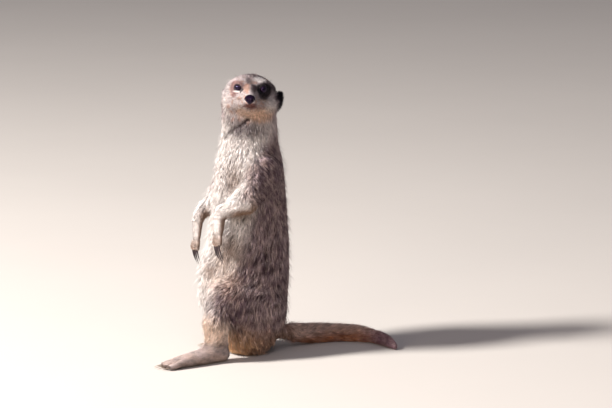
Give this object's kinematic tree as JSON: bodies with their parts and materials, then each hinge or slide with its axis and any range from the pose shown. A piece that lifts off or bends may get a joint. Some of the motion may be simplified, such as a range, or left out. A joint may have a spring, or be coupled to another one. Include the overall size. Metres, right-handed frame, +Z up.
{
  "type": "meerkat figure",
  "caption": "Life-size still model of a meerkat sitting upright on its haunches, arms held in front with the hands hanging, looking over its left shoulder.",
  "frame": {"origin": "on the floor in the middle of the seat that the animal rests on", "axes": "+Z up; the hips face -Y and the tail leaves towards +Y; the animal's left is +X; the head is turned to the animal's left"},
  "size_m": [0.0994, 0.2484, 0.2705],
  "materials": {
    "coat_back": "grizzled grey-brown fur of the back, flanks and thighs",
    "coat_pale": "pale cream fur of the face, throat, chest, forearms and paws",
    "coat_dark": "near-black short fur of the ears and the tail's tip",
    "coat_tail": "tan fur of the tail",
    "eye": "wet, glossy dark brown eyeball",
    "bare_nose": "bare dark skin with a damp sheen",
    "claw": "smooth dark horn"
  },
  "bodies": {
    "root": {"head": "coat_pale", "lower_jaw": "coat_back", "neck": "coat_pale", "trunk": "coat_back", "nose": "bare_nose", "eye_left": "eye", "ear_left": "coat_dark", "upper_arm_left": "coat_back", "forearm_left": "coat_pale", "hand_left": "coat_pale", "thigh_left": "coat_back", "shin_left": "coat_back", "foot_left": "coat_pale", "claw_hand_left_1": "claw", "claw_hand_left_2": "claw", "claw_hand_left_3": "claw", "claw_hand_left_4": "claw", "claw_foot_left_1": "claw", "claw_foot_left_2": "claw", "claw_foot_left_3": "claw", "claw_foot_left_4": "claw", "eye_right": "eye", "ear_right": "coat_dark", "upper_arm_right": "coat_back", "forearm_right": "coat_pale", "hand_right": "coat_pale", "thigh_right": "coat_back", "shin_right": "coat_back", "foot_right": "coat_pale", "claw_hand_right_1": "claw", "claw_hand_right_2": "claw", "claw_hand_right_3": "claw", "claw_hand_right_4": "claw", "claw_foot_right_1": "claw", "claw_foot_right_2": "claw", "claw_foot_right_3": "claw", "claw_foot_right_4": "claw", "tail_root": "coat_tail", "tail_middle": "coat_tail", "tail_tip": "coat_dark"}
  },
  "joints": []
}
